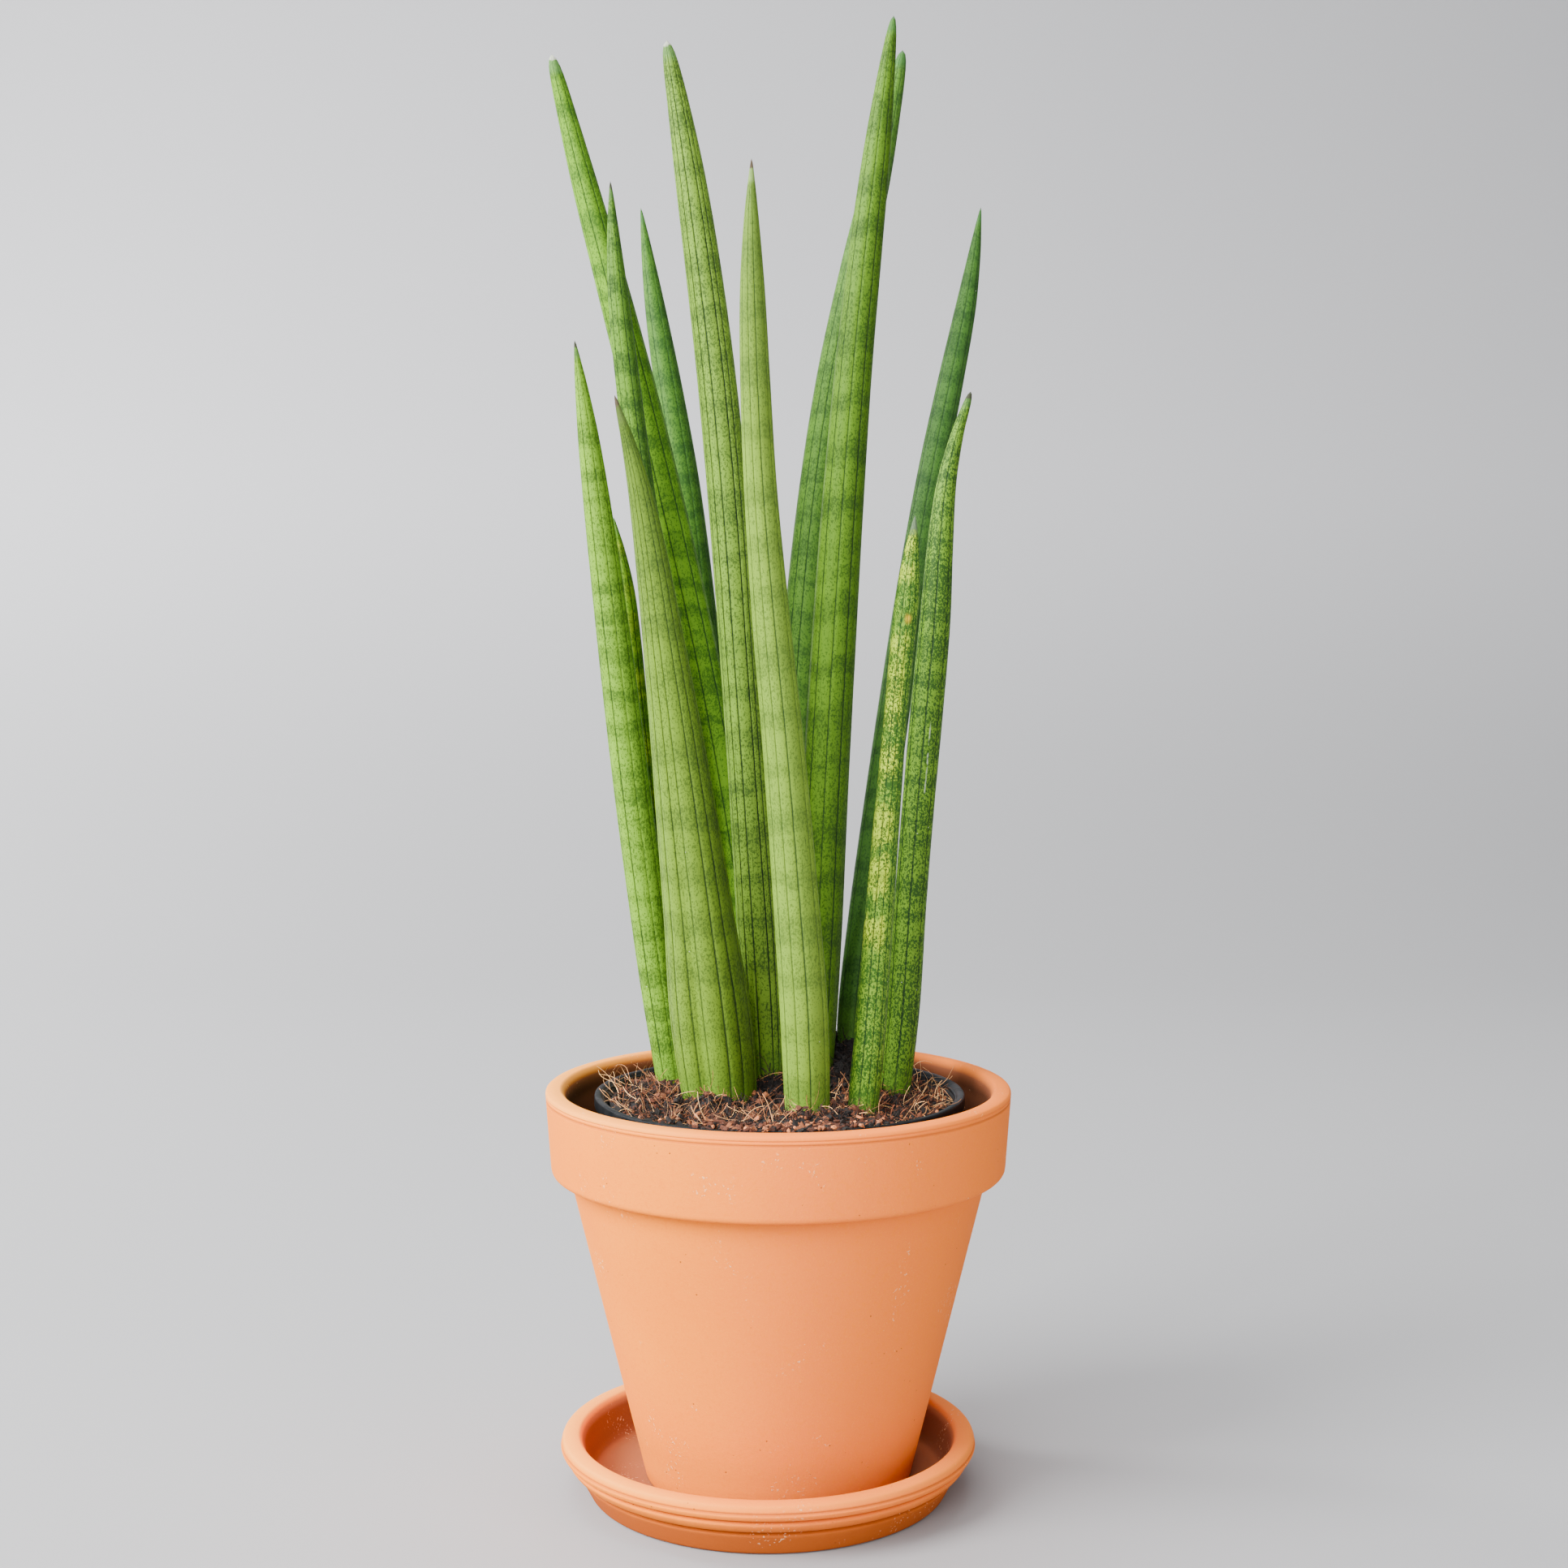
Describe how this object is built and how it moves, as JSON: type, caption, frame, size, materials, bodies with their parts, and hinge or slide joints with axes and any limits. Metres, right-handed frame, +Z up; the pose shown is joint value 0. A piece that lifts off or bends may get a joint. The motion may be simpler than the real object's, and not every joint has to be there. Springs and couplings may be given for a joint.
{
  "type": "potted cylindrical snake plant",
  "caption": "Upright plant with round, grooved, spear-shaped leaves, in a nursery pot inside a collared clay pot standing on a clay saucer.",
  "frame": {"origin": "centre of the saucer's foot, on the surface that it stands on", "axes": "+Z up, -Y towards the viewer, +X to the viewer's right"},
  "size_m": [0.18, 0.1802, 0.568],
  "materials": {
    "terracotta": "matte",
    "black_plastic": "satin",
    "coir_mix": "matte",
    "rhizome_skin": "matte",
    "leaf_green": "satin",
    "leaf_pale": "satin",
    "leaf_blue_green": "satin",
    "leaf_banded": "satin"
  },
  "bodies": {
    "root": {"saucer": "terracotta", "clay_pot": "terracotta", "nursery_pot": "black_plastic", "potting_mix": "coir_mix", "rhizome": "rhizome_skin", "leaf_left_short": "leaf_green", "leaf_left_tall": "leaf_green", "leaf_left_middle": "leaf_green", "leaf_left_back": "leaf_blue_green", "leaf_centre_tall": "leaf_green", "leaf_front_wide": "leaf_pale", "leaf_left_small": "leaf_banded", "leaf_front_pale": "leaf_pale", "leaf_right_tall": "leaf_green", "leaf_right_behind": "leaf_blue_green", "leaf_right_back": "leaf_blue_green", "leaf_right_banded": "leaf_banded", "leaf_right_hooked": "leaf_green"}
  },
  "joints": []
}
